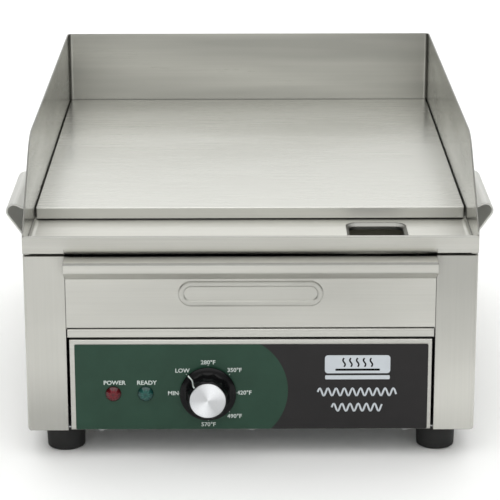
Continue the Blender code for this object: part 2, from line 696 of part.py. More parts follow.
def element_clamp(body, end, y):
    """A bar that presses the elements against the plate; the front one also carries the bulb."""
    solid = box((-150.0, 150.0), (y - 8.0, y + 8.0), (CLAMP_TOP - CLAMP_THICK, CLAMP_TOP))
    bar = piece(f"element_clamp_{end}", solid, "zinc_plated", body)
    if end == "front":
        weld(bar, box((-6.0, 6.0), (y - 6.0, y + 6.0), (CLAMP_TOP - 1.0, BULB_Z - BULB_RADIUS - GAP)))
    cut(bar, *[cylinder("Z", (side * STUD_X, y, 0), 2.4, 150.0, 170.0, 12) for side in SIDES.values()])


def insulation_and_shield(body):
    """The insulating blanket and the tray-shaped sheet that holds it up."""
    wool = box((-156.0, 156.0), (116.0, 470.0), (SHIELD_BOTTOM + 1.3, 163.0))
    blanket = piece("insulation_blanket", wool, "mineral_wool", body)
    cut(blanket, *at_each_stud(STUD_RADIUS + 0.5, 140.0, 180.0))
    path = [(160.0, 160.0), (160.0, SHIELD_BOTTOM), (-160.0, SHIELD_BOTTOM), (-160.0, 160.0)]
    solid = sheet(path, 2.0, "Y", 112.0, 474.0, thickness=1.0)
    shield = piece("heat_shield", solid, "zinc_plated", body, smooth=True)
    cut(shield, *at_each_stud(STUD_RADIUS + 0.5, 140.0, 180.0))


def clamp_nut(body, number, x, y):
    top = SHIELD_BOTTOM - GAP
    nut = piece(f"clamp_nut_{number}", hexagon("Z", (x, y, 0), 4.0, top - 3.0, top), "zinc_plated", body)
    cut(nut, cylinder("Z", (x, y, 0), STUD_RADIUS + GAP, top - 6.0, top + 3.0, 12))


def bulb_and_capillary(body):
    """The thermostat's bulb between the elements, and the thin tube that runs down to the thermostat."""
    profile = [(0, 145.0), (1.8, 145.4), (BULB_RADIUS, 147.5), (BULB_RADIUS, 232.0), (1.8, 234.6),
               (0, 235.0)]
    piece("thermostat_bulb", turned(profile, "Y", (0, 0, BULB_Z), 16), "copper_tube", body, smooth=True)
    route = [(0, 235.3, BULB_Z), (0, 260, BULB_Z), (0, 460, BULB_Z), (0, 474, 167), (0, 480, 156),
             (0, 480, 110), (0, 476, 80), (-4, 455, 58), (-20, 320, 45), (-32, 140, 42), (KNOB_X, 60, 46),
             (KNOB_X, THERMOSTAT_BACK + 0.4, 46)]
    tube("capillary_tube", smooth_route(route, 2), 1.0, "copper_tube", body)


# ---------------------------------------------------------------- wiring and rear entry

def terminal_block(body):
    """The supply terminals, with a wire hole in each end of each way."""
    top = BASE_PLATE_BOTTOM + SHEET
    solid = prism(rectangle(-128.0, -92.0, *BLOCK_Y, 1.5, 2), "Z", top + GAP, top + 18.0)
    block = piece("terminal_block", solid, "steatite", body)
    front, back = BLOCK_Y
    holes = [cylinder("Y", (x, 0, BLOCK_HOLE_Z), 2.2, low, low + 8.0, 8)
             for x in BLOCK_HOLES for low in (front - 2.0, back - 6.0)]
    cut(block, *holes)


def cable_gland(body):
    """The supply cable's entry: the threaded gland, and the nut inside the rear panel."""
    centre = (GLAND_X, 0, GLAND_Z)
    seat = REAR_PANEL_Y + SHEET + GAP
    end = DEPTH + GLAND_REACH
    profile = [(3.6, 496.0), (GLAND_THREAD, 496.0), (GLAND_THREAD, seat), (11.0, seat), (11.0, seat + 4.5),
               (9.6, seat + 5.0), (9.6, end - 3.0), (8.0, end - 0.8), (6.5, end), (3.6, end)]
    piece("cable_gland", turned(profile, "Y", centre, 20, loop=True), "black_plastic", body, smooth=True)
    solid = hexagon("Y", centre, 12.7, REAR_PANEL_Y - GAP - 3.5, REAR_PANEL_Y - GAP)
    nut = piece("gland_nut", solid, "black_plastic", body)
    cut(nut, cylinder("Y", centre, GLAND_THREAD + GAP, 490.0, 510.0, 20))


def wiring(body):
    """The internal leads, each from terminal to terminal."""
    inner, outer = ELEMENT_LEGS[0], ELEMENT_LEGS[-1]
    under = TERMINAL_Z - GAP
    beside = TERMINAL_Y - ELEMENT_RADIUS - GAP
    rear = THERMOSTAT_BACK + GAP
    lamp_rear = LAMP_BACK + GAP
    block_front = BLOCK_Y[0] + 3.0
    block_back = BLOCK_Y[1] - 3.0
    low, middle, high = BLOCK_HOLES
    leads = {
        "live_wire": ("wire_brown", [
            (high, block_front, BLOCK_HOLE_Z), (high, 415, BLOCK_HOLE_Z), (-94, 330, 40), (-70, 180, 52),
            (-44, 80, 68), (-40, 50, 70), (-40, rear, 70)]),
        "load_wire": ("wire_brown", [
            (-22, rear, 68), (-22, 55, 69), (-8, 140, 76), (-8, 300, 80), (-20, 400, 96), (-inner, 450, 126),
            (-inner, 472, 142), (-inner, beside, 143)]),
        "load_link": ("wire_brown", [
            (-inner, TERMINAL_Y, under), (-inner, TERMINAL_Y, 128), (-14, 492, 116), (0, 494, 112),
            (14, 492, 116), (inner, TERMINAL_Y, 128), (inner, TERMINAL_Y, under)]),
        "neutral_wire_left": ("wire_blue", [
            (-outer, TERMINAL_Y, under), (-outer, TERMINAL_Y, 122), (-128, 484, 80), (-124, 476, 50),
            (low, 462, 39), (low, block_back, BLOCK_HOLE_Z)]),
        "neutral_wire_right": ("wire_blue", [
            (outer, TERMINAL_Y, under), (outer, TERMINAL_Y, 122), (110, 490, 96), (40, 492, 84),
            (-50, 491, 74), (-98, 484, 56), (-109, 472, 42), (middle, 460, BLOCK_HOLE_Z),
            (middle, block_back, BLOCK_HOLE_Z)]),
        "earth_wire": ("wire_green", [
            (high, block_back, BLOCK_HOLE_Z), (high, 458, BLOCK_HOLE_Z), (-92, 468, 34), (-76, 471, 31),
            (EARTH_STUD[0] - 2.5 - GAP, EARTH_STUD[1], 31)]),
        "power_lamp_lead": ("grey_plastic", [
            (LAMPS["power_lamp"], lamp_rear, LAMP_Z), (-111, 40, LAMP_Z), (-100, 56, 52), (-70, 62, 46),
            (-52, 54, 46), (-50, rear, 46)]),
        "ready_lamp_lead": ("grey_plastic", [
            (LAMPS["ready_lamp"], lamp_rear, LAMP_Z), (-85, 38, 57), (-76, 50, 61), (-60, 54, 62),
            (-51, 48, 62), (-50, rear, 62)]),
    }
    for name, (finish, route) in leads.items():
        tube(name, smooth_route(route, 2), 1.3, finish, body)


# ---------------------------------------------------------------- the object

def build():
    for old in list(bpy.data.objects):
        bpy.data.objects.remove(old, do_unlink=True)
    body = holder("griddle", at=(0.0, FRONT, 0.0))
    tray = holder("tray_slide", body, at=(0.0, 0.0, TRAY_BOTTOM))
    dial = holder("knob_turn", body, at=(KNOB_X, 0.0, KNOB_Z))
    griddle_plate(body)
    splash_guard(body)
    top_frame(body)
    for side in SIDES:
        side_panel(body, side)
        tray_runner(body, side)
        handle(body, side)
        heating_element(body, side)
    rear_panel(body)
    base_plate(body)
    tray_shelf(body)
    for place_of_foot in foot_places():
        foot(body, *place_of_foot)
        foot_screw(body, *place_of_foot)
    tray_pan(tray)
    tray_front(tray)
    control_panel(body)
    panel_overlay(body)
    thermostat(body, dial)
    knob(dial)
    lamp(body, "power_lamp", LAMPS["power_lamp"], "red_lens")
    lamp(body, "ready_lamp", LAMPS["ready_lamp"], "green_lens")
    for number, x in enumerate(PANEL_SCREW_X, 1):
        panel_screw(body, number, x)
    for end, y in zip(("front", "rear"), CLAMP_Y):
        element_clamp(body, end, y)
    insulation_and_shield(body)
    for number, (x, y) in enumerate(stud_places(), 1):
        clamp_nut(body, number, x, y)
    bulb_and_capillary(body)
    terminal_block(body)
    cable_gland(body)
    wiring(body)


build()
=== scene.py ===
import json
import math

import bmesh
import bpy
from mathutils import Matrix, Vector


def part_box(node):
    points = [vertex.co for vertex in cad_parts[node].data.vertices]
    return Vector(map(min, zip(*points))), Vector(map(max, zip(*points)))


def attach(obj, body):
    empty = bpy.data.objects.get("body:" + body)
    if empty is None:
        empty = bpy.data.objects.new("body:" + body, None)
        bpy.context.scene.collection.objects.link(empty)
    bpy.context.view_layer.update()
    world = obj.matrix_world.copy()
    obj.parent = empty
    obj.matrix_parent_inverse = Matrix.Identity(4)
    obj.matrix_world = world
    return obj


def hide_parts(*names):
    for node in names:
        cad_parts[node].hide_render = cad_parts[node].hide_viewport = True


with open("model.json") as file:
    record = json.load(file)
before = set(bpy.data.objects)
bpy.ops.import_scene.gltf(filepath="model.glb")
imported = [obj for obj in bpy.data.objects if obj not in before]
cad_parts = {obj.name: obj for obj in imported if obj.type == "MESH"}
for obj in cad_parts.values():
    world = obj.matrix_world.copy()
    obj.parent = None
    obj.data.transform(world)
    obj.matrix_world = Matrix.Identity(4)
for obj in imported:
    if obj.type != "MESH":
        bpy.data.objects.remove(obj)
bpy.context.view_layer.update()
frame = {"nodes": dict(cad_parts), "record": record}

MM = 0.001
X, Y, Z = (1.0, 0.0, 0.0), (0.0, 1.0, 0.0), (0.0, 0.0, 1.0)
NODES = frame["nodes"]


def middle(node):
    """The x, y and z of the middle of a node's box."""
    return [(low + high) / 2 for low, high in zip(*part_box(node))]


# Where things are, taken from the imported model
FILM_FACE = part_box("panel_overlay")[0].y
SKIRT_LOW, SKIRT_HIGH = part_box("control_knob")
SKIRT_RADIUS = (SKIRT_HIGH.x - SKIRT_LOW.x) / 2 / MM
KNOB_X, _, KNOB_Z = middle("control_knob")
KNOB = Vector((KNOB_X, FILM_FACE, KNOB_Z))      # where the knob's axis meets the film
PLATE_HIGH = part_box("griddle_plate")[1]
LIP_LOW, LIP_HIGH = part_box("top_frame")
PULL_LOW, PULL_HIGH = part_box("tray_front")
SIDE_LOW, SIDE_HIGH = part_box("side_panel_left")
REAR_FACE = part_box("rear_panel")[1].y

# Print stands a hair proud of the film and reaches a little into it
PRINT_FRONT = FILM_FACE - 0.06 * MM
PRINT_BACK = FILM_FACE + 0.02 * MM

POINTER_ANGLE = math.radians(135.0)     # the knob points at LOW
DARK_CENTRE = (-16.5, 58.0)             # x and z of the arc between the film's two colours, in millimetres
DARK_RADIUS = 46.4


# ---------------------------------------------------------------- materials

class Nodes:
    """Short calls that build a tree of shader nodes."""

    def __init__(self, tree):
        self.tree = tree

    def join(self, value, socket):
        if isinstance(value, bpy.types.NodeSocket):
            self.tree.links.new(value, socket)
        else:
            socket.default_value = value

    def node(self, kind, *values, **settings):
        made = self.tree.nodes.new("ShaderNode" + kind)
        for setting, value in settings.items():
            setattr(made, setting, value)
        for socket, value in zip(made.inputs, values):
            if value is not None:
                self.join(value, socket)
        return made

    def math(self, operation, *values):
        return self.node("Math", *values, operation=operation).outputs[0]

    def span(self, value, from_low, from_high, to_low, to_high, **settings):
        """A value's way between two limits, carried over to two others and kept between them."""
        return self.node("MapRange", value, from_low, from_high, to_low, to_high, **settings).outputs[0]

    def axes(self, vector):
        return self.node("SeparateXYZ", vector).outputs

    def distance(self, first, second):
        squares = self.math("POWER", first, 2.0), self.math("POWER", second, 2.0)
        return self.math("SQRT", self.math("ADD", *squares))


class Shader(Nodes):
    """A material and the calls that its nodes need."""

    def __init__(self, name, **sockets):
        self.material = bpy.data.materials.new(name)
        self.material.use_nodes = True
        super().__init__(self.material.node_tree)
        self.surface = self.tree.nodes["Principled BSDF"]
        for socket, value in sockets.items():
            self.set(socket.replace("_", " "), value)
        self.place = self.node("TexCoord").outputs["Object"]

    def set(self, socket, value):
        self.join(value, self.surface.inputs[socket])

    def noise(self, scale, detail=3.0, roughness=0.55, stretch=(1.0, 1.0, 1.0), shift=(0.0, 0.0, 0.0)):
        """Noise between 0 and 1; scale is features per metre, and stretch shortens them along an axis."""
        mapped = self.node("Mapping", self.place, shift, None, stretch).outputs[0]
        return self.noise_at(mapped, scale, detail, roughness)

    def noise_at(self, vector, scale, detail, roughness=0.5):
        made = self.node("TexNoise")
        values = {"Vector": vector, "Scale": scale, "Detail": detail, "Roughness": roughness}
        for socket, value in values.items():
            self.join(value, made.inputs[socket])
        return made.outputs["Fac"]

    def blend(self, share, first, second):
        """A colour between two colours."""
        made = self.node("Mix", data_type="RGBA")
        self.join(share, made.inputs[0])
        for colour, socket in ((first, made.inputs[6]), (second, made.inputs[7])):
            self.join(colour if isinstance(colour, bpy.types.NodeSocket) else (*colour, 1.0), socket)
        return made.outputs[2]

    def bump(self, height, strength, distance, normal=None):
        made = self.node("Bump", strength, distance)
        self.join(height, made.inputs["Height"])
        if normal is not None:
            self.join(normal, made.inputs["Normal"])
        return made.outputs[0]

    def flat_normal(self):
        return self.node("NewGeometry").outputs["Normal"]

    def rounded_normal(self, radius):
        """The normal, rounded over sharp edges."""
        return self.node("Bevel", radius, samples=4).outputs[0]

    def near_edge(self, rounded):
        """How far the rounded normal leaves the flat one: 0 away from edges, 1 on them."""
        likeness = self.node("VectorMath", rounded, self.flat_normal(), operation="DOT_PRODUCT")
        return self.span(likeness.outputs["Value"], 0.999, 0.9, 0.0, 1.0)

    def around(self, centre):
        """The x, y and z from a centre."""
        offset = self.node("VectorMath", self.place, tuple(centre), operation="SUBTRACT")
        return self.axes(offset.outputs[0])


def shade(colour, factor):
    return tuple(min(1.0, part * factor) for part in colour)


def even(features):
    return (features, features, features)


# EDGE_TONE and the third tone here are painted shade: sharp edges and places a shade function marks are
# darkened towards them.
CLOUD_TONE, EDGE_TONE, PAINTED_SHADE_TONE = 0.72, 0.35, 0.30    # each as a share of the sheet's own colour
EDGE_SHARE = 0.6                                        # how much of the edge tone a sharp edge takes
SIDEWAYS = 0.7                                          # a face whose normal leans more than this is a flank
DUST = (0.45, 0.44, 0.42)
GRAIN_RELIEF = 0.2 * MM
PRINT_RELIEF = 0.05 * MM


def brushed(name, colour, stretch, grain, rough=(0.30, 0.42), streaks=0.07, blotches=0.06, bump=0.10,
            edge=0.6 * MM, seed=0.0, cloud_scale=8.0, cloud_stretch=(0.6, 1.0, 1.6), metal=1.0, painted_shade=None,
            front_rough=0.0, flank_rough=0.0):
    """Brushed metal: grain lines, slow cloudy variation, and slightly rounded cut edges darkened with painted
    shade.

    The highlight is drawn out across the grain. Where the grain runs along X, faces to the sides take it
    along Y instead, because X isn't in their plane. front_rough and flank_rough add to the roughness of faces
    to the front and to the sides, and the shade function, given the shader, is how much painted shade darkens
    a place, from 0 to 1.
    """
    made = Shader(name, Metallic=metal, Anisotropic=0.45, Anisotropic_Rotation=0.25)
    shift = (seed, seed * 1.7, seed * 2.3)
    fine = made.noise(2.4, 2.0, 0.6, stretch, shift)
    broad = made.noise(0.55, 3.0, 0.6, stretch, shift)
    haze = made.span(made.noise(cloud_scale, 2.0, 0.45, cloud_stretch, shift), 0.3, 0.7, 0.0, 1.0)
    low, high = shade(colour, 1.0 - streaks), shade(colour, 1.0 + streaks)
    tone = made.blend(made.span(broad, 0.3, 0.7, 0.0, 1.0), low, high)
    tone = made.blend(made.math("MULTIPLY", haze, blotches * 4.0), tone, shade(colour, CLOUD_TONE))
    normal = made.rounded_normal(edge)
    # Painted shade: sharp edges are darkened towards the edge tone, to dull the highlight that their rounding
    # catches.
    painted_edge_shade = made.math("MULTIPLY", made.near_edge(normal), EDGE_SHARE)
    tone = made.blend(painted_edge_shade, tone, shade(colour, EDGE_TONE))
    # Painted shade: the places that the shade function marks are darkened towards the shade tone.
    if painted_shade:
        tone = made.blend(painted_shade(made), tone, shade(colour, PAINTED_SHADE_TONE))
    made.set("Base Color", tone)

    facing = made.axes(made.flat_normal())
    flank = made.math("GREATER_THAN", made.math("ABSOLUTE", facing[0]), SIDEWAYS)
    rub = made.math("ADD", made.span(fine, 0.3, 0.7, *rough), made.span(haze, 0.0, 1.0, -0.02, 0.05))
    if front_rough:
        rub = made.math("ADD", rub, made.span(facing[1], -0.9, -0.6, front_rough, 0.0))
    if flank_rough:
        rub = made.math("ADD", rub, made.math("MULTIPLY", flank, flank_rough))
    made.set("Roughness", rub)
    made.set("Normal", made.bump(made.math("ADD", fine, broad), bump, GRAIN_RELIEF, normal))
    if grain == X:
        grain = (made.math("SUBTRACT", 1.0, flank), flank, 0.0)
    made.set("Tangent", made.node("CombineXYZ", *grain).outputs[0])
    return made.material


def moulded(name, colour, rough, bump=0.05, grain=900.0, dust=0.05, shine=0.4):
    """Moulded plastic, rubber, ceramic or wool: a faint orange-peel skin and a little dust."""
    made = Shader(name, Specular_IOR_Level=shine)
    skin = made.noise(grain)
    cloud = made.noise(60.0)
    made.set("Base Color", made.blend(made.math("MULTIPLY", cloud, dust), colour, DUST))
    made.set("Roughness", made.span(cloud, 0.25, 0.75, rough * 0.85, rough * 1.2))
    made.set("Normal", made.bump(skin, bump, GRAIN_RELIEF, made.rounded_normal(0.4 * MM)))
    return made.material


def printed_film(name):
    """The front film: dark green on the left, charcoal beyond a printed arc, under a faint matt skin."""
    greens = (0.0150, 0.047, 0.029), (0.0195, 0.058, 0.037)
    charcoals = (0.0125, 0.0115, 0.0120), (0.0165, 0.0150, 0.0155)
    made = Shader(name, Specular_IOR_Level=0.25)
    x, _, z = made.axes(made.place)
    across = made.math("SUBTRACT", x, DARK_CENTRE[0] * MM)
    up = made.math("SUBTRACT", z, DARK_CENTRE[1] * MM)
    outside = made.math("GREATER_THAN", made.distance(across, up), DARK_RADIUS * MM)
    right_half = made.math("GREATER_THAN", x, DARK_CENTRE[0] * MM)
    dark = made.math("MULTIPLY", outside, right_half)
    cloud = made.noise(45.0, 4.0)
    mottle = made.span(cloud, 0.3, 0.7, 0.0, 1.0)
    made.set("Base Color", made.blend(dark, made.blend(mottle, *greens), made.blend(mottle, *charcoals)))
    made.set("Roughness", made.span(cloud, 0.3, 0.7, 0.36, 0.46))
    made.set("Normal", made.bump(made.noise(2600.0, 2.0), 0.08, PRINT_RELIEF))
    return made.material


def spun(name, colour):
    """Turned aluminium: fine rings about the knob's axis, under a painted highlight that fans out two ways.
    """
    fan_angle = math.radians(62.0)
    made = Shader(name, Metallic=1.0, Anisotropic=0.85, Anisotropic_Rotation=0.25)
    x, _, z = made.around(KNOB)
    reach = made.node("CombineXYZ", made.distance(x, z), 0.0, 0.0).outputs[0]
    fine = made.noise_at(reach, 3500.0, 2.0)
    turn = made.math("SUBTRACT", made.math("ARCTAN2", z, x), fan_angle)
    painted_fan = made.math("COSINE", made.math("MULTIPLY", turn, 2.0))
    painted_fan_and_grooves = made.math("ADD", made.span(painted_fan, -1.0, 1.0, -0.25, 1.0), made.span(fine, 0.3, 0.7, -0.15, 0.15))
    # Painted highlight: the base colour is lighter in two fans about the axis, besides the rings' own tone.
    made.set("Base Color", made.blend(painted_fan_and_grooves, shade(colour, 0.80), shade(colour, 1.28)))
    made.set("Roughness", made.span(fine, 0.3, 0.7, 0.22, 0.32))
    made.set("Normal", made.bump(fine, 0.12, PRINT_RELIEF))
    made.set("Tangent", made.node("Tangent", direction_type="RADIAL", axis="Y").outputs[0])
    return made.material


def jewel(name, colour, deep, centre):
    """A tinted lens with a bright, spoked ring painted in as the reflection of its reflector."""
    ring_radius, ring_width, spoke_count = 2.6 * MM, 3.6 * MM, 10.0
    made = Shader(name, Roughness=0.16, Coat_Weight=0.15, Coat_Roughness=0.05, Specular_IOR_Level=0.35)
    x, _, z = made.around(centre)
    spokes = made.math("SINE", made.math("MULTIPLY", made.math("ARCTAN2", z, x), spoke_count))
    off_ring = made.math("ABSOLUTE", made.math("SUBTRACT", made.distance(x, z), ring_radius))
    ring = made.span(off_ring, 0.0, ring_width, 1.0, 0.0)
    shine = made.math("MULTIPLY", ring, made.span(spokes, -1.0, 1.0, 0.45, 1.0))
    # Painted reflection: the lens is lighter in a spoked ring.
    made.set("Base Color", made.blend(shine, deep, colour))
    made.set("Normal", made.bump(spokes, 0.25, GRAIN_RELIEF))
    return made.material


def guard_shade(made):
    """Painted shade on the guard's upward-facing faces, its raw cut edges along the top, to dull their
    highlight.
    """
    return made.span(made.axes(made.flat_normal())[2], 0.35, 0.6, 0.0, 0.85)


def frame_shade(made):
    """Painted shade on the pressed slope of the drain, and on the folded hem along the top of the lip."""
    hem_depth, hem_low, hem_high = 2.5 * MM, LIP_HIGH.z - 1.6 * MM, LIP_HIGH.z - 0.4 * MM
    slope_start, slope_low, slope_high = 30.0 * MM, LIP_HIGH.z - 15.4 * MM, LIP_HIGH.z - 15.1 * MM
    _, y, z = made.axes(made.place)
    in_front = made.math("LESS_THAN", y, LIP_LOW.y + hem_depth)
    hem = made.math("MULTIPLY", made.span(z, hem_low, hem_high, 0.0, 0.5), in_front)
    sunk = made.span(z, slope_low, slope_high, 0.6, 0.0)
    pressed = made.math("MULTIPLY", sunk, made.math("GREATER_THAN", y, LIP_LOW.y + slope_start))
    return made.math("MAXIMUM", hem, pressed)


def post_shade(made):
    """Painted shade and reflection down the posts' fronts: left darker at its foot, right darker at its head.
    """
    x, _, z = made.axes(made.place)
    forward = made.axes(made.flat_normal())[1]
    height = made.span(z, SIDE_LOW.z, SIDE_HIGH.z, 0.0, 1.0)
    head = made.math("MULTIPLY", made.span(height, 0.15, 0.9, 0.0, 0.42), made.math("GREATER_THAN", x, 0.0))
    foot = made.math("MULTIPLY", made.span(height, 0.1, 0.6, 0.32, 0.0), made.math("LESS_THAN", x, 0.0))
    return made.math("MULTIPLY", made.math("ADD", head, foot), made.span(forward, -0.9, -0.5, 1.0, 0.0))


def plate_rim(made):
    """Painted shade along the plate's rear and side edges, where they meet the guard."""
    x, y, _ = made.axes(made.place)
    rear = made.span(y, PLATE_HIGH.y - 1.8 * MM, PLATE_HIGH.y - 0.9 * MM, 0.0, 1.0)
    side_low, side_high = PLATE_HIGH.x - 0.8 * MM, PLATE_HIGH.x - 0.3 * MM
    flank = made.span(made.math("ABSOLUTE", x), side_low, side_high, 0.0, 0.5)
    return made.math("MAXIMUM", rear, flank)


def tray_nose(made):
    """Painted shade along the bend where the pull's face meets its top, in place of its highlight."""
    _, y, z = made.axes(made.place)
    high = made.span(z, PULL_HIGH.z - 1.8 * MM, PULL_HIGH.z - 0.9 * MM, 0.0, 0.9)
    near = made.span(y, PULL_LOW.y + 1.4 * MM, PULL_LOW.y + 3.0 * MM, 1.0, 0.0)
    return made.math("MULTIPLY", high, near)


STEEL = (0.520, 0.516, 0.482)

# How noise is drawn out into grain, along one axis or in level lines on upright sheet
ALONG_X = (12.0, 1100.0, 1100.0)
ALONG_Y = (1100.0, 12.0, 1100.0)
ALONG_Z = (1100.0, 1100.0, 12.0)
LEVEL = (12.0, 12.0, 1100.0)

PLATE = brushed("ground_plate", (0.675, 0.673, 0.635), (5.0, 900.0, 900.0), X, rough=(0.23, 0.29),
                streaks=0.015, blotches=0.12, bump=0.02, cloud_scale=9.0, painted_shade=plate_rim, front_rough=0.28)
FRAME_STEEL = brushed("brushed_frame", shade(STEEL, 1.03), ALONG_X, X, streaks=0.05, seed=3.1,
                      painted_shade=frame_shade)
# The guard's strong, streaky clouds are random tone placed to stand in for streaky reflections on its back:
# part painted reflection.
GUARD_STEEL = brushed("brushed_guard", shade(STEEL, 1.05), LEVEL, X, rough=(0.28, 0.38), streaks=0.04,
                      blotches=0.30, seed=2.9, cloud_scale=7.0, cloud_stretch=(0.5, 1.0, 5.0),
                      painted_shade=guard_shade, flank_rough=-0.12)
SIDE_STEEL = brushed("brushed_side", shade(STEEL, 1.12), ALONG_Z, Z, streaks=0.025, blotches=0.12, bump=0.05,
                     seed=8.3, painted_shade=post_shade)
HANDLE_STEEL = brushed("brushed_handle", (0.66, 0.66, 0.63), ALONG_Y, Y, rough=(0.34, 0.44), streaks=0.03,
                       blotches=0.08, seed=9.4, metal=0.5)
TRAY_STEEL = brushed("brushed_tray", shade(STEEL, 1.12), ALONG_X, X, streaks=0.04, blotches=0.16, seed=11.9,
                     painted_shade=tray_nose)
ZINC = brushed("zinc_plate", (0.50, 0.51, 0.52), even(60.0), X, rough=(0.34, 0.48), streaks=0.10,
               blotches=0.20, seed=14.2)
SCREW_STEEL = brushed("screw_steel", (0.55, 0.55, 0.54), even(300.0), X, rough=(0.25, 0.38), edge=0.2 * MM)
COPPER = brushed("drawn_copper", (0.72, 0.42, 0.28), even(120.0), Y, rough=(0.30, 0.45), streaks=0.12,
                 blotches=0.15)
SHEATH = brushed("heater_sheath", (0.16, 0.15, 0.14), even(90.0), Y, rough=(0.5, 0.65), streaks=0.20,
                 blotches=0.20)
BLACK_PLASTIC = moulded("black_phenolic", (0.004, 0.004, 0.0045), 0.16, bump=0.02, dust=0.002, shine=0.16)
RUBBER = moulded("black_rubber", (0.010, 0.010, 0.010), 0.66, bump=0.25, grain=1500.0, dust=0.02)
GREY_PLASTIC = moulded("grey_insulation", (0.28, 0.28, 0.28), 0.5)
CREAM_CERAMIC = moulded("steatite", (0.72, 0.68, 0.58), 0.55, bump=0.10)
WOOL = moulded("mineral_wool", (0.66, 0.62, 0.50), 0.95, bump=0.9, grain=260.0, dust=0.2)
BROWN = moulded("brown_sleeve", (0.14, 0.06, 0.03), 0.5)
BLUE = moulded("blue_sleeve", (0.03, 0.09, 0.32), 0.5)
GREEN = moulded("green_sleeve", (0.12, 0.30, 0.05), 0.5)
PRINT_WHITE = moulded("print_white", (0.60, 0.66, 0.63), 0.5, bump=0.02, dust=0.10)
PRINT_SILVER = moulded("print_silver", (0.56, 0.60, 0.64), 0.45, bump=0.02, dust=0.10)
FILM = printed_film("printed_film")
SPUN = spun("spun_aluminium", (0.68, 0.69, 0.71))

FINISH_OF_SLOT = {
    "stainless": FRAME_STEEL, "plate_steel": PLATE, "zinc_plated": ZINC, "element_sheath": SHEATH,
    "black_rubber": RUBBER, "black_plastic": BLACK_PLASTIC, "grey_plastic": GREY_PLASTIC,
    "overlay_film": FILM, "spun_aluminium": SPUN, "mineral_wool": WOOL, "steatite": CREAM_CERAMIC,
    "copper_tube": COPPER, "wire_brown": BROWN, "wire_blue": BLUE, "wire_green": GREEN,
}
FINISH_OF_NODE = {
    "splash_guard": GUARD_STEEL,
    "side_panel_left": SIDE_STEEL, "side_panel_right": SIDE_STEEL,
    "handle_left": HANDLE_STEEL, "handle_right": HANDLE_STEEL,
    "tray_front": TRAY_STEEL, "tray_pan": TRAY_STEEL,
}


def dress_nodes():
    """Every node gets its own finish or its slot's; the lenses have none, since jewels replace them."""
    for part in frame["record"]["subparts"]:
        name = part["node"]
        finish = FINISH_OF_NODE.get(name) or FINISH_OF_SLOT.get(part["material_slot"])
        if finish is None:
            continue
        materials = NODES[name].data.materials
        materials.clear()
        materials.append(finish)


# ---------------------------------------------------------------- pieces

SMOOTH_BELOW = math.radians(32.0)


def link(thing):
    bpy.context.scene.collection.objects.link(thing)
    return thing


def piece(name, solid, finish, body, replaced=(), flat=False):
    """A named piece from a bmesh in metres, riding on a body."""
    bmesh.ops.recalc_face_normals(solid, faces=solid.faces)
    mesh = bpy.data.meshes.new(name)
    solid.to_mesh(mesh)
    solid.free()
    if not flat:
        mesh.shade_smooth()
        mesh.set_sharp_from_angle(angle=SMOOTH_BELOW)
    mesh.materials.append(finish)
    made = link(bpy.data.objects.new(name, mesh))
    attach(made, body)
    if replaced:
        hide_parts(*replaced)


def spin(solid, profile, centre, axis, steps=64, wave=None):
    """Turn (radius, place) pairs in millimetres about an axis, Y or Z, through a centre in metres.

    wave(angle, place) adds to the radius.
    """
    rings = []
    for radius, place in profile:
        ring = []
        for step in range(steps if radius > 0 else 1):
            angle = 2 * math.pi * step / steps
            reach = radius + (wave(angle, place) if wave and radius > 0 else 0.0)
            u, v = reach * math.cos(angle), reach * math.sin(angle)
            local = Vector((u, place, v)) if axis == Y else Vector((u, v, place))
            ring.append(solid.verts.new(Vector(centre) + local * MM))
        rings.append(ring)
    for lower, upper in zip(rings, rings[1:]):
        for step in range(steps):
            ahead = step + 1
            corners = [lower[step % len(lower)], lower[ahead % len(lower)],
                       upper[ahead % len(upper)], upper[step % len(upper)]]
            solid.faces.new(list(dict.fromkeys(corners)))
    return solid


def close_seams(solid):
    """Weld a spun profile that ends where it starts."""
    bmesh.ops.remove_doubles(solid, verts=solid.verts, dist=1e-7)


def slab(solid, outline, y_front, y_back):
    """A thin printed shape: an outline of (x, z) in metres between two depths."""
    front = [solid.verts.new((x, y_front, z)) for x, z in outline]
    back = [solid.verts.new((x, y_back, z)) for x, z in outline]
    solid.faces.new(front)
    solid.faces.new(back[::-1])
    for index in range(len(outline)):
        ahead = (index + 1) % len(outline)
        solid.faces.new((front[index], back[index], back[ahead], front[ahead]))


def round_rectangle(low_x, high_x, low_z, high_z, radius, steps=6):
    """A rounded rectangle in the XZ plane; millimetres in, metres out."""
    points = []
    centres = ((high_x - radius, high_z - radius), (low_x + radius, high_z - radius),
               (low_x + radius, low_z + radius), (high_x - radius, low_z + radius))
    for quarter, (x, z) in enumerate(centres):
        for step in range(steps + 1):
            angle = math.pi / 2 * (quarter + step / steps)
            points.append(((x + radius * math.cos(angle)) * MM, (z + radius * math.sin(angle)) * MM))
    return points


def ribbon(solid, points, width, y_front=PRINT_FRONT, y_back=PRINT_BACK):
    """Add a printed band of even width along a path of (x, z) in millimetres, made of short quads."""
    rungs = []
    for index, point in enumerate(points):
        before = Vector(points[max(index - 1, 0)])
        after = Vector(points[min(index + 1, len(points) - 1)])
        along = (after - before).normalized()
        across = Vector((-along.y, along.x)) * width / 2
        ends = [(Vector(point) + across * side) * MM for side in (1, -1)]
        rungs.append([solid.verts.new((x, y, z)) for y in (y_front, y_back) for x, z in ends])
    for rung, following in zip(rungs, rungs[1:]):
        for first, second in ((0, 1), (1, 3), (3, 2), (2, 0)):
            solid.faces.new((rung[first], rung[second], following[second], following[first]))
    for rung, corners in ((rungs[0], (0, 1, 3, 2)), (rungs[-1], (2, 3, 1, 0))):
        solid.faces.new([rung[corner] for corner in corners])


CAPITAL_SHARE = 0.73        # a capital's height as a share of the font's size
CONDENSE = 1.04             # how much wider than the font's own the capitals are
STROKE_GAIN = 0.028         # how much bolder, as a share of their height


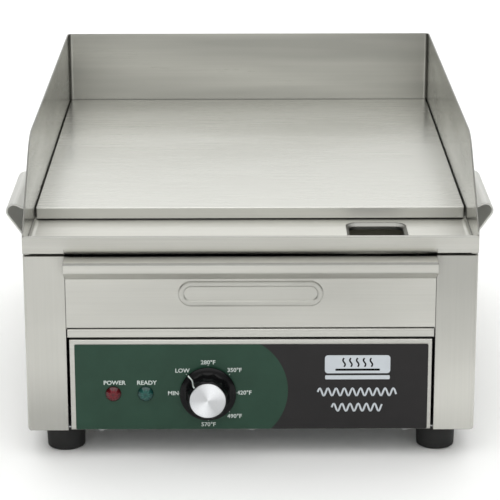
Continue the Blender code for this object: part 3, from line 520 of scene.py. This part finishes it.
def lettering(solid, words, x, z, height):
    """Add upright capitals, centred on x and z in millimetres, to a solid."""
    curve = bpy.data.curves.new("lettering", "FONT")
    curve.body = words
    curve.align_x = "CENTER"
    curve.align_y = "CENTER"
    curve.size = height * MM / CAPITAL_SHARE
    curve.extrude = (PRINT_BACK - PRINT_FRONT) / 2
    curve.offset = STROKE_GAIN * height * MM
    curve.resolution_u = 3
    holder = link(bpy.data.objects.new("lettering", curve))
    bpy.context.view_layer.update()
    mesh = bpy.data.meshes.new_from_object(holder.evaluated_get(bpy.context.evaluated_depsgraph_get()))
    depth = (PRINT_FRONT + PRINT_BACK) / 2
    for vertex in mesh.vertices:
        across, up, out = vertex.co
        vertex.co = (across * CONDENSE + x * MM, depth - out, up + z * MM)
    solid.from_mesh(mesh)
    bpy.data.objects.remove(holder, do_unlink=True)
    bpy.data.meshes.remove(mesh)


# Where each mark stands from the knob's axis, across and up, in millimetres
DIAL_MARKS = {
    "MIN": (-28.0, -0.3), "LOW": (-20.6, 19.0), "280°F": (0.2, 26.0), "350°F": (21.4, 19.4),
    "420°F": (29.3, 0.0), "490°F": (21.4, -20.2), "570°F": (0.2, -27.3),
}
DIAL_CAPITALS, LAMP_CAPITALS = 3.5, 3.6
TICK = (SKIRT_RADIUS + 0.4, SKIRT_RADIUS + 1.4)     # from and to, as distances from the knob's axis
TICK_WIDTH = 0.55
LAMP_WORD_SHIFT = (1.0, 9.0)


def dial_and_labels():
    """The printed scale round the knob and the two words over the lamps."""
    knob_x, knob_z = KNOB.x / MM, KNOB.z / MM
    solid = bmesh.new()
    for words, (across, up) in DIAL_MARKS.items():
        lettering(solid, words, knob_x + across, knob_z + up, DIAL_CAPITALS)
        direction = Vector((across, up)).normalized()
        ribbon(solid, [Vector((knob_x, knob_z)) + direction * reach for reach in TICK], TICK_WIDTH)
    for words, node in (("POWER", "power_lamp_lens"), ("READY", "ready_lamp_lens")):
        x, _, z = middle(node)
        lettering(solid, words, x / MM + LAMP_WORD_SHIFT[0], z / MM + LAMP_WORD_SHIFT[1], LAMP_CAPITALS)
    piece("dial_print", solid, PRINT_WHITE, "chassis", flat=True)


# The badge, in millimetres: rounded rectangles as low x, high x, low z, high z and radius
BADGE_FIELD = (59.6, 112.3, 72.6, 88.0, 2.6)
BADGE_BAR = (59.9, 112.0, 67.4, 70.9, 0.8)
BADGE_HOTPLATE = (68.0, 104.0, 74.8, 76.6, 0.7)
WAVE_BANDS = ((54.0, 117.4, 56.6), (65.4, 106.0, 43.4))     # low x, high x and z of each
WAVE_STEP, WAVE_SWING, WAVE_LENGTH, WAVE_WIDTH = 0.6, 3.2, 6.6, 1.5
HEAT_LINES_X = (75.0, 80.5, 86.0, 91.5, 97.0)
HEAT_FOOT, HEAT_RISE, HEAT_SWING, HEAT_STEPS, HEAT_WIDTH = 78.2, 7.4, 0.9, 14, 1.3


def badge():
    """A plain badge with rising heat lines, a bar and two wave bands, in place of any name."""
    plate = bmesh.new()
    for rectangle in (BADGE_FIELD, BADGE_BAR):
        slab(plate, round_rectangle(*rectangle), PRINT_FRONT, PRINT_BACK)
    for low_x, high_x, z in WAVE_BANDS:
        count = round((high_x - low_x) / WAVE_STEP)
        path = []
        for step in range(count + 1):
            x = low_x + (high_x - low_x) * step / count
            path.append((x, z + WAVE_SWING * math.sin((x - low_x) * 2 * math.pi / WAVE_LENGTH)))
        ribbon(plate, path, WAVE_WIDTH)
    piece("badge_print", plate, PRINT_SILVER, "chassis", flat=True)

    icon = bmesh.new()
    icon_depths = (PRINT_FRONT - 0.05 * MM, PRINT_FRONT + 0.01 * MM)
    slab(icon, round_rectangle(*BADGE_HOTPLATE), *icon_depths)
    for x in HEAT_LINES_X:
        path = []
        for step in range(HEAT_STEPS + 1):
            share = step / HEAT_STEPS
            path.append((x + HEAT_SWING * math.sin(share * 2 * math.pi), HEAT_FOOT + share * HEAT_RISE))
        ribbon(icon, path, HEAT_WIDTH, *icon_depths)
    piece("badge_icon", icon, BLACK_PLASTIC, "chassis", flat=True)


# The knob's grip, in millimetres: radius, and how far in front of its foot; the skirt is given from its rim
SKIRT_PROFILE = ((-0.8, 0.0), (-0.2, 0.4), (0.0, 1.0), (-0.2, 1.7), (-0.9, 2.3))
GRIP_PROFILE = ((19.6, 2.9), (18.2, 3.5), (17.5, 4.3), (17.1, 5.4), (16.9, 7.5), (16.5, 10.5), (16.1, 13.8),
                (15.9, 14.7), (15.5, 15.4), (14.9, 15.8), (14.4, 16.0), (0.0, 16.0))
FLUTE_FROM, FLUTE_TO, FLUTE_COUNT, FLUTE_DEPTH = 3.6, 14.8, 12, 0.34
LINE_WIDTH, LINE_PROUD, LINE_SUNK = 1.1, 0.12, -0.35
CAP_PROFILE = ((0.0, 1.1), (13.9, 1.1), (14.4, 0.9), (14.5, 0.6), (14.3, 0.25), (13.8, 0.05), (13.2, 0.0),
               (6.0, 0.06), (0.0, 0.1))


def knob():
    """The fluted knob, its inlaid pointer line and its spun cap."""
    foot = SKIRT_HIGH.y / MM
    centre = (KNOB.x, 0.0, KNOB.z)

    def flutes(angle, place):
        if not FLUTE_FROM <= foot - place <= FLUTE_TO:
            return 0.0
        return FLUTE_DEPTH * math.cos(FLUTE_COUNT * (angle - POINTER_ANGLE))

    skirt = [(SKIRT_RADIUS + inset, foot - ahead) for inset, ahead in SKIRT_PROFILE]
    profile = [(0.0, foot)] + skirt + [(radius, foot - ahead) for radius, ahead in GRIP_PROFILE]
    grip = spin(bmesh.new(), profile, centre, Y, 144, flutes)
    piece("knob_grip", grip, BLACK_PLASTIC, "knob", ("control_knob",))

    line = bmesh.new()
    rows = []
    outward = Vector((math.cos(POINTER_ANGLE), 0.0, math.sin(POINTER_ANGLE)))
    sideways = Vector((-outward.z, 0.0, outward.x))
    for radius, place in profile[4:-2]:
        swell = flutes(POINTER_ANGLE, place)
        for lift in (LINE_PROUD, LINE_SUNK):
            local = outward * (radius + swell + lift) + Vector((0.0, place - lift * 0.5, 0.0))
            point = Vector(centre) + local * MM
            rows.append([line.verts.new(point + sideways * side * LINE_WIDTH / 2 * MM) for side in (-1, 1)])
    for index in range(0, len(rows) - 2, 2):
        top, under, next_top, next_under = rows[index:index + 4]
        line.faces.new((top[0], top[1], next_top[1], next_top[0]))
        line.faces.new((under[1], under[0], next_under[0], next_under[1]))
        for side in (0, 1):
            line.faces.new((top[side], next_top[side], next_under[side], under[side]))
    for top, under in (rows[:2], rows[-2:]):
        line.faces.new((top[0], top[1], under[1], under[0]))
    piece("knob_pointer", line, PRINT_WHITE, "knob")

    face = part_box("knob_cap")[0].y / MM
    cap = spin(bmesh.new(), [(radius, face + behind) for radius, behind in CAP_PROFILE], centre, Y, 96)
    piece("knob_spun_cap", cap, SPUN, "knob", ("knob_cap",))


# The lamps' collar and dome, in millimetres: radius, and how far in front of the film
LENS_PROFILE = ((0.0, -3.0), (4.3, -3.0), (4.3, 0.3), (6.2, 0.35), (6.4, 0.8), (6.2, 1.3), (5.8, 1.7),
                (5.3, 2.1), (4.6, 2.6), (3.6, 3.3), (2.2, 3.75))
# The bright tint is the painted reflection in each lens's ring.
LENS_TINTS = {      # bright, deep and slot
    "power_lamp_lens": ((0.175, 0.005, 0.013), (0.035, 0.002, 0.003), "red_lens"),
    "ready_lamp_lens": ((0.018, 0.115, 0.095), (0.004, 0.030, 0.026), "green_lens"),
}


def lamps():
    """Two jewelled lenses in thin collars."""
    for node, (bright, deep, slot_name) in LENS_TINTS.items():
        x, _, z = middle(node)
        centre = (x, 0.0, z)
        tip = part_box(node)[0].y / MM
        profile = [(radius, FILM_FACE / MM - ahead) for radius, ahead in LENS_PROFILE]
        dome = spin(bmesh.new(), profile + [(1.0, tip + 0.03), (0.0, tip)], centre, Y, 48)
        tint = jewel(node + "_tint", bright, deep, centre)
        piece(node.replace("_lamp_lens", "_jewel"), dome, tint, "chassis", (node,))


# A foot, in millimetres: radius and height from the sole, then radius and height from its top
SOLE_PROFILE = ((6.0, 1.6), (12.8, 1.2), (13.4, 0.0), (14.5, 0.0), (15.2, 0.5), (15.4, 1.4), (15.8, 12.0),
                (16.0, 17.0), (15.7, 17.4), (15.7, 18.2), (16.1, 18.6))
FOOT_TOP_PROFILE = ((16.3, -1.2), (16.1, -0.4), (15.6, 0.0), (3.0, 0.0))
FOOT_BORE_PROFILE = ((3.0, 15.3), (6.0, 15.3), (6.0, 1.6))


def feet():
    """Tapered rubber feet with a moulded groove and a recessed sole."""
    for node in sorted(name for name in NODES if name.startswith("foot_") and "screw" not in name):
        x, y, _ = middle(node)
        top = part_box(node)[1].z / MM
        upper = tuple((radius, top + above) for radius, above in FOOT_TOP_PROFILE)
        foot = spin(bmesh.new(), SOLE_PROFILE + upper + FOOT_BORE_PROFILE, (x, y, 0.0), Z)
        close_seams(foot)
        piece(node.replace("foot", "rubber_foot"), foot, RUBBER, "chassis", (node,))


SCREW_PROFILE = ((0.0, -0.2), (3.6, -0.2), (3.8, 0.3), (3.6, 1.0), (2.9, 1.6), (1.6, 1.95), (0.0, 2.0))
SCREW_X, SCREW_HEIGHTS = 156.0, (38.0, 98.0, 158.0)
RECESS_FACE = 2.02 * MM         # how far the cross stands from the flange, just clear of the head
RECESS_REACH, RECESS_DEPTH, RECESS_SHARE = 1.7 * MM, 0.5 * MM, 0.22


def cross_recess_shade(solid, centre, out, across):
    """A small cross standing a hair proud, dark as painted shade in place of the recess of a driven screw."""
    side = out.cross(across)
    for first, second in ((across, side), (side, across)):
        length, width = first * RECESS_REACH, second * RECESS_REACH * RECESS_SHARE
        corners = [length + width, length - width, -length - width, -length + width]
        lower = [solid.verts.new(centre + corner - out * RECESS_DEPTH) for corner in corners]
        upper = [solid.verts.new(centre + corner) for corner in corners]
        solid.faces.new(lower)
        solid.faces.new(upper)
        for index in range(4):
            ahead = (index + 1) % 4
            solid.faces.new((lower[index], lower[ahead], upper[ahead], upper[index]))


def rear_screws():
    """Pan-head screws through the rear flanges."""
    heads, recess_shades = bmesh.new(), bmesh.new()
    profile = [(radius, SIDE_HIGH.y / MM + behind) for radius, behind in SCREW_PROFILE]
    for side in (-1, 1):
        for height in SCREW_HEIGHTS:
            centre = Vector((side * SCREW_X * MM, 0.0, height * MM))
            spin(heads, profile, centre, Y, 32)
            tip = Vector((centre.x, SIDE_HIGH.y + RECESS_FACE, centre.z))
            cross_recess_shade(recess_shades, tip, Vector(Y), Vector(X))
    piece("rear_screws", heads, SCREW_STEEL, "chassis")
    # Painted shade: dark crosses stand in for the shade in the screws' recesses.
    piece("rear_screw_recess_shades", recess_shades, BLACK_PLASTIC, "chassis", flat=True)


GLAND_BORE = 3.8
GLAND_RIBS, GLAND_RIB_DEPTH = 16, 0.35


def gland():
    """The cable entry: a ribbed dome nut on a flange, open through the middle."""
    low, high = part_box("cable_gland")
    x, _, z = middle("cable_gland")
    start, end = low.y / MM, high.y / MM
    seat = REAR_FACE / MM + 0.3

    def ribs(angle, place):
        return GLAND_RIB_DEPTH * math.cos(GLAND_RIBS * angle) if seat + 4.9 < place < end - 2.0 else 0.0

    profile = [(GLAND_BORE, start), (8.0, start), (8.0, seat), (11.0, seat), (11.0, seat + 4.2),
               (10.6, seat + 4.6), (9.7, seat + 4.8), (9.2, seat + 5.2), (9.2, end - 3.4), (8.9, end - 2.2),
               (8.0, end - 0.9), (6.6, end - 0.1), (5.4, end), (5.0, end - 0.7), (GLAND_BORE, end - 0.9),
               (GLAND_BORE, start)]
    body = spin(bmesh.new(), profile, (x, 0.0, z), Y, 96, ribs)
    close_seams(body)
    piece("gland_body", body, BLACK_PLASTIC, "chassis", ("cable_gland",))


# ---------------------------------------------------------------- studio

PAPER = (0.955, 0.955, 0.95), (0.98, 0.98, 0.975)
SURROUND = (0.98, 0.99, 0.97, 1.0)
SIDE_FALLOFF = (0.32, 0.80, 0.78, 0.08)         # from and to in |x| of the direction, and the strengths there
OVERHEAD_FALLOFF = (0.55, 0.95, 1.0, 0.65)      # the same in z, as a factor

# Name, place, aim, size and power of each soft light
LIGHTS = (
    ("ceiling", (0.0, 0.0, 3.2), (0.0, 0.0, 0.0), (7.0, 6.4), 140.0),
    ("behind", (0.0, 2.1, 2.1), (0.0, 0.1, 0.1), (3.4, 2.2), 20.0),
    ("front_low", (0.0, -2.2, 1.9), (0.0, -0.5, 0.0), (4.0, 1.6), 19.0),
)


def ground():
    """A pale floor just under the feet."""
    grid = bmesh.new()
    bmesh.ops.create_grid(grid, x_segments=2, y_segments=2, size=9.0)
    mesh = bpy.data.meshes.new("floor")
    grid.to_mesh(mesh)
    grid.free()
    floor = link(bpy.data.objects.new("floor", mesh))
    floor.location.z = -0.5 * MM
    paper = Shader("floor_paper", Roughness=0.9)
    paper.set("Base Color", paper.blend(paper.noise(0.8, 2.0), *PAPER))
    mesh.materials.append(paper.material)


def surround():
    """An even pale surround, dimmer to the sides and a little dimmer overhead."""
    world = bpy.data.worlds.new("surround")
    bpy.context.scene.world = world
    world.use_nodes = True
    sky = Nodes(world.node_tree)
    x, _, z = sky.axes(sky.node("TexCoord").outputs["Generated"])
    sides = sky.span(sky.math("ABSOLUTE", x), *SIDE_FALLOFF, interpolation_type="SMOOTHSTEP")
    overhead = sky.span(z, *OVERHEAD_FALLOFF, interpolation_type="SMOOTHSTEP")
    glow = world.node_tree.nodes["Background"]
    sky.join(SURROUND, glow.inputs["Color"])
    sky.join(sky.math("MULTIPLY", sides, overhead), glow.inputs["Strength"])


def lights():
    for name, place, aim, size, power in LIGHTS:
        lamp = bpy.data.lights.new(name, "AREA")
        lamp.shape = "RECTANGLE"
        lamp.size, lamp.size_y = size
        lamp.energy = power
        made = link(bpy.data.objects.new(name, lamp))
        made.location = place
        made.rotation_mode = "QUATERNION"
        made.rotation_quaternion = (Vector(aim) - Vector(place)).to_track_quat("-Z", "Y")


def camera():
    """The photo's camera, solved from the body's straight edges."""
    lens = bpy.data.cameras.new("camera")
    lens.lens = 158.57
    lens.sensor_width = 36.0
    lens.clip_start, lens.clip_end = 0.05, 60.0
    made = link(bpy.data.objects.new("camera", lens))
    made.location = (-0.00656, -1.91857, 0.68091)
    made.rotation_euler = (math.radians(73.192), math.radians(0.085), math.radians(-0.233))
    bpy.context.scene.camera = made


dress_nodes()
dial_and_labels()
badge()
knob()
lamps()
feet()
rear_screws()
gland()
ground()
surround()
lights()
camera()
bpy.context.scene.view_settings.view_transform = "Standard"
